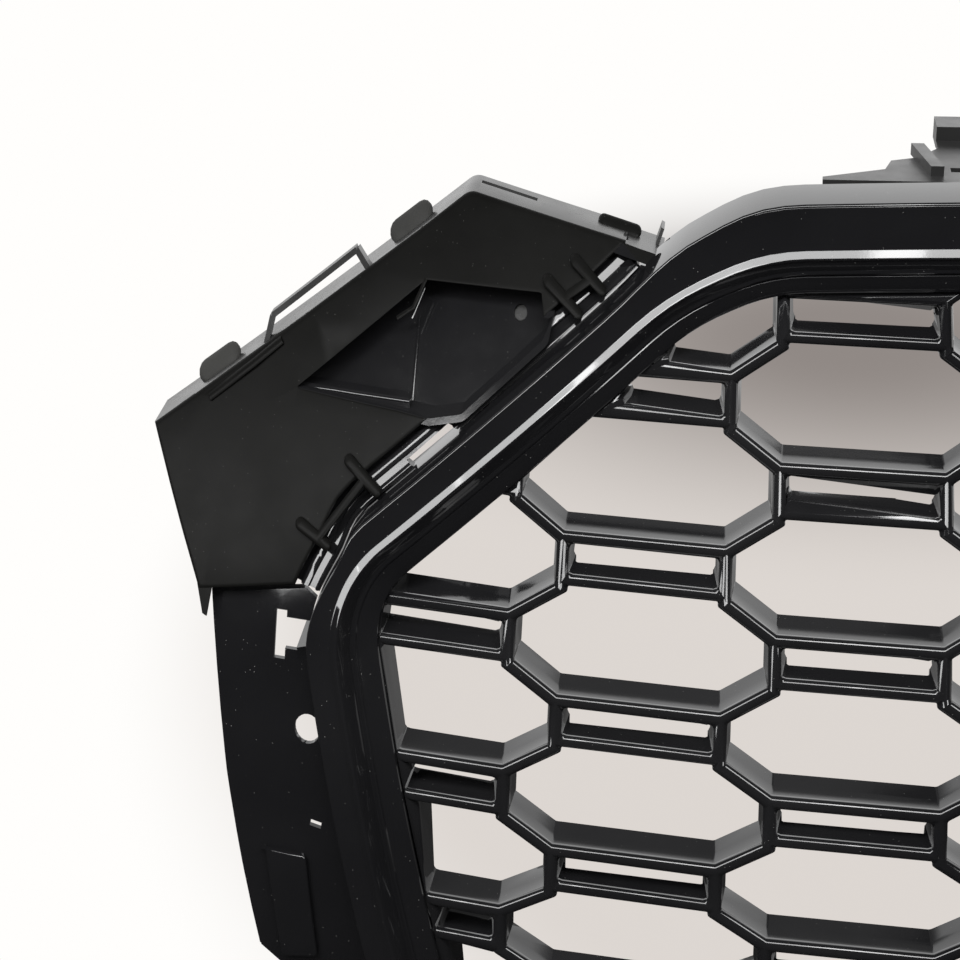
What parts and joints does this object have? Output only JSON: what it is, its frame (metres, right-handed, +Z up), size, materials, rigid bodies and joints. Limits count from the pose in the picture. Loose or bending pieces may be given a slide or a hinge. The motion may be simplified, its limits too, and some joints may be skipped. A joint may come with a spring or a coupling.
{
  "type": "front grille",
  "caption": "Honeycomb car front grille with a six-sided surround trim, side wings and panels, fixed by screws and push rivets.",
  "frame": {"origin": "middle of the top rail's upper fixing face, on the car's centre plane", "axes": "+X to the viewer's right when facing the grille, +Y back into the car, +Z up"},
  "size_m": [1.2, 0.3631, 0.491],
  "materials": {
    "gloss_black": "piano-black gloss",
    "satin_black": "satin moulded grain",
    "matt_black": "matt moulded",
    "buffer_foam": "soft matt rubber",
    "zinc_screw": "zinc-plated steel"
  },
  "bodies": {
    "grille": {"channel_clip_lower_left": "satin_black", "channel_clip_lower_right": "satin_black", "channel_clip_upper_left": "satin_black", "channel_clip_upper_right": "satin_black", "edge_buffer_inner_left": "buffer_foam", "edge_buffer_inner_right": "buffer_foam", "edge_buffer_outer_left": "buffer_foam", "edge_buffer_outer_right": "buffer_foam", "honeycomb_mesh": "gloss_black", "lower_rail": "matt_black", "lower_rail_screw_left_1": "zinc_screw", "lower_rail_screw_right_1": "zinc_screw", "mesh_screw_left_1": "zinc_screw", "mesh_screw_left_2": "zinc_screw", "mesh_screw_left_3": "zinc_screw", "mesh_screw_left_4": "zinc_screw", "mesh_screw_right_1": "zinc_screw", "mesh_screw_right_2": "zinc_screw", "mesh_screw_right_3": "zinc_screw", "mesh_screw_right_4": "zinc_screw", "push_rivet_1": "matt_black", "push_rivet_2": "matt_black", "push_rivet_3": "matt_black", "push_rivet_4": "matt_black", "side_panel_left": "gloss_black", "side_panel_right": "gloss_black", "side_panel_screw_left_1": "zinc_screw", "side_panel_screw_left_2": "zinc_screw", "side_panel_screw_right_1": "zinc_screw", "side_panel_screw_right_2": "zinc_screw", "surround_trim": "gloss_black", "top_rail": "matt_black", "top_rail_screw_left_1": "zinc_screw", "top_rail_screw_right_1": "zinc_screw", "wing_left": "satin_black", "wing_right": "satin_black", "wing_screw_left_1": "zinc_screw", "wing_screw_left_2": "zinc_screw", "wing_screw_right_1": "zinc_screw", "wing_screw_right_2": "zinc_screw"},
    "rivet_pin_1": {"push_rivet_pin_1": "matt_black"},
    "rivet_pin_2": {"push_rivet_pin_2": "matt_black"},
    "rivet_pin_3": {"push_rivet_pin_3": "matt_black"},
    "rivet_pin_4": {"push_rivet_pin_4": "matt_black"}
  },
  "joints": [
    {"name": "rivet_pin_1_slide", "type": "slide", "parent": "grille", "child": "rivet_pin_1", "axis": [0, 0, 1], "range_m": [0, 0.006]},
    {"name": "rivet_pin_2_slide", "type": "slide", "parent": "grille", "child": "rivet_pin_2", "axis": [0, 0, 1], "range_m": [0, 0.006]},
    {"name": "rivet_pin_3_slide", "type": "slide", "parent": "grille", "child": "rivet_pin_3", "axis": [0, 0, 1], "range_m": [0, 0.006]},
    {"name": "rivet_pin_4_slide", "type": "slide", "parent": "grille", "child": "rivet_pin_4", "axis": [0, 0, 1], "range_m": [0, 0.006]}
  ]
}
